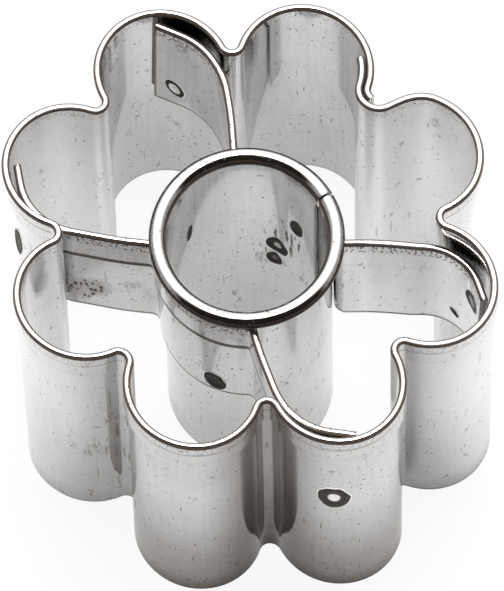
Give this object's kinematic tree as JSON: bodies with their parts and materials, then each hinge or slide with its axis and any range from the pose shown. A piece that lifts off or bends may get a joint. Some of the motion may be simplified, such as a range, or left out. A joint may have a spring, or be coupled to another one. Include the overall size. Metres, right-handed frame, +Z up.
{
  "type": "fluted ring cookie cutter",
  "caption": "Tinplate cookie cutter: a flower-shaped band with a folded rim around a centre tube with a curled rim, joined by bent straps and open through from top to bottom.",
  "frame": {"origin": "centre of the flower on the plane of the cutting edges, under the middle of the band's outline", "axes": "+Z up from the cutting edges to the hemmed rim; a valley between two petals lies on each of +X, -X, +Y and -Y; the picture looks from -Y and above"},
  "size_m": [0.038, 0.038, 0.0298],
  "materials": {
    "band_tinplate": "bright tinplate with fine scratches",
    "tube_tinplate": "bright tinplate with fine scratches",
    "strap_tinplate": "dull tinplate with weld marks"
  },
  "bodies": {
    "root": {"outer_band": "band_tinplate", "centre_tube": "tube_tinplate", "back_strap": "strap_tinplate", "front_strap": "strap_tinplate"}
  },
  "joints": []
}
